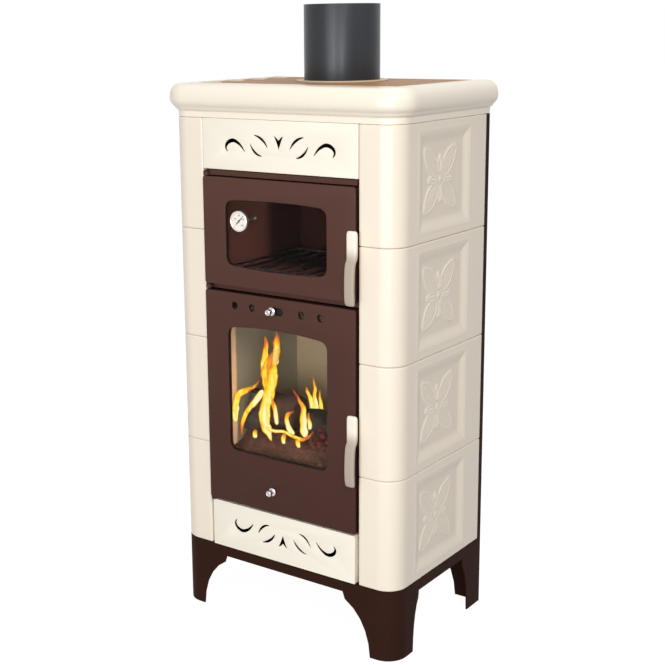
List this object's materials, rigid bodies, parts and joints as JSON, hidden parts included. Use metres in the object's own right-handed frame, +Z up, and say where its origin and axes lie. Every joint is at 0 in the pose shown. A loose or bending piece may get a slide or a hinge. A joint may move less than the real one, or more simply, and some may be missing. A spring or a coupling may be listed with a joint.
{
  "type": "tiled wood stove with oven",
  "caption": "Narrow upright wood-burning stove with glazed corner tiles, a baking oven over a glazed firebox, two hinged doors with lever handles, air controls and a short flue pipe.",
  "frame": {"origin": "centre of the stove's box, on the floor", "axes": "+X to the right as seen from the front, +Y to its back, +Z up"},
  "size_m": [0.559, 0.367, 1.235],
  "materials": {
    "glazed_tile": "glossy cream glaze",
    "cream_enamel": "semi-gloss cream enamel",
    "door_enamel": "satin brown enamel",
    "base_enamel": "satin dark brown enamel",
    "oven_enamel": "satin dark enamel",
    "pipe_paint": "satin dark grey heat paint",
    "black_steel": "matt black heat paint",
    "cast_grate": "raw casting",
    "fire_clay": "matt clay, sooted",
    "bright_wire": "bright zinc",
    "chromed": "polished",
    "door_glass": "clear heat-proof glass",
    "rope_seal": "braided glass fibre rope",
    "dial_face": "matt white",
    "dial_pointer": "matt black"
  },
  "bodies": {
    "root": {"base_frame": "base_enamel", "base_plate": "base_enamel", "right_tile_1": "glazed_tile", "left_tile_1": "glazed_tile", "right_tile_2": "glazed_tile", "left_tile_2": "glazed_tile", "right_tile_3": "glazed_tile", "left_tile_3": "glazed_tile", "right_tile_4": "glazed_tile", "left_tile_4": "glazed_tile", "crown_surround": "glazed_tile", "top_plate": "door_enamel", "top_vent_grille": "cream_enamel", "flue_collar": "cream_enamel", "flue_pipe": "pipe_paint", "top_vent_panel": "cream_enamel", "bottom_vent_panel": "cream_enamel", "front_frame": "door_enamel", "back_panel": "door_enamel", "chamber_wall_right": "black_steel", "chamber_wall_left": "black_steel", "chamber_wall_back": "black_steel", "chamber_roof": "black_steel", "ash_floor": "black_steel", "firebox_floor": "black_steel", "fire_grate": "cast_grate", "firebrick_right": "fire_clay", "firebrick_left": "fire_clay", "firebrick_back": "fire_clay", "baffle_plate": "fire_clay", "oven_box": "oven_enamel", "hinge_pin_upper": "bright_wire", "hinge_pin_middle": "bright_wire", "hinge_pin_lower": "bright_wire"},
    "ash_pan": {"ash_pan": "black_steel"},
    "oven_rack": {"oven_rack": "bright_wire"},
    "oven_door": {"oven_door": "door_enamel", "oven_glass": "door_glass", "oven_glass_retainer": "black_steel", "oven_door_seal": "rope_seal", "thermometer_case": "chromed", "thermometer_dial": "dial_face", "thermometer_probe": "chromed"},
    "oven_handle": {"oven_handle": "cream_enamel", "oven_latch": "black_steel"},
    "thermometer_pointer": {"thermometer_pointer": "dial_pointer"},
    "fire_door": {"fire_door": "door_enamel", "fire_glass": "door_glass", "fire_glass_retainer": "black_steel", "fire_door_seal": "rope_seal", "fire_door_liner": "black_steel"},
    "fire_handle": {"fire_handle": "cream_enamel", "fire_latch": "black_steel"},
    "secondary_air": {"secondary_air_slide": "black_steel", "secondary_air_knob": "chromed"},
    "primary_air": {"primary_air_knob": "chromed", "primary_air_damper": "black_steel"}
  },
  "joints": [
    {"name": "oven_door_hinge", "type": "hinge", "parent": "root", "child": "oven_door", "pos_m": [-0.172, -0.15952, 0.805], "axis": [0, 0, -1], "range_deg": [0, 110]},
    {"name": "fire_door_hinge", "type": "hinge", "parent": "root", "child": "fire_door", "pos_m": [-0.172, -0.15952, 0.467], "axis": [0, 0, -1], "range_deg": [0, 110]},
    {"name": "oven_handle_turn", "type": "hinge", "parent": "oven_door", "child": "oven_handle", "pos_m": [0.172, -0.16552, 0.808], "axis": [0, 1, 0], "range_deg": [0, 80]},
    {"name": "fire_handle_turn", "type": "hinge", "parent": "fire_door", "child": "fire_handle", "pos_m": [0.172, -0.16552, 0.4605], "axis": [0, 1, 0], "range_deg": [0, 80]},
    {"name": "thermometer_turn", "type": "hinge", "parent": "oven_door", "child": "thermometer_pointer", "pos_m": [-0.0875, -0.16712, 0.829], "axis": [0, 1, 0], "range_deg": [-180, 90]},
    {"name": "secondary_air_slide", "type": "slide", "parent": "fire_door", "child": "secondary_air", "axis": [1, 0, 0], "range_m": [-0.0025, 0.021]},
    {"name": "primary_air_pull", "type": "slide", "parent": "fire_door", "child": "primary_air", "axis": [0, -1, 0], "range_m": [0, 0.008]},
    {"name": "ash_pan_slide", "type": "slide", "parent": "root", "child": "ash_pan", "axis": [0, -1, 0], "range_m": [0, 0.01]},
    {"name": "oven_rack_slide", "type": "slide", "parent": "root", "child": "oven_rack", "axis": [0, -1, 0], "range_m": [0, 0.01]}
  ]
}
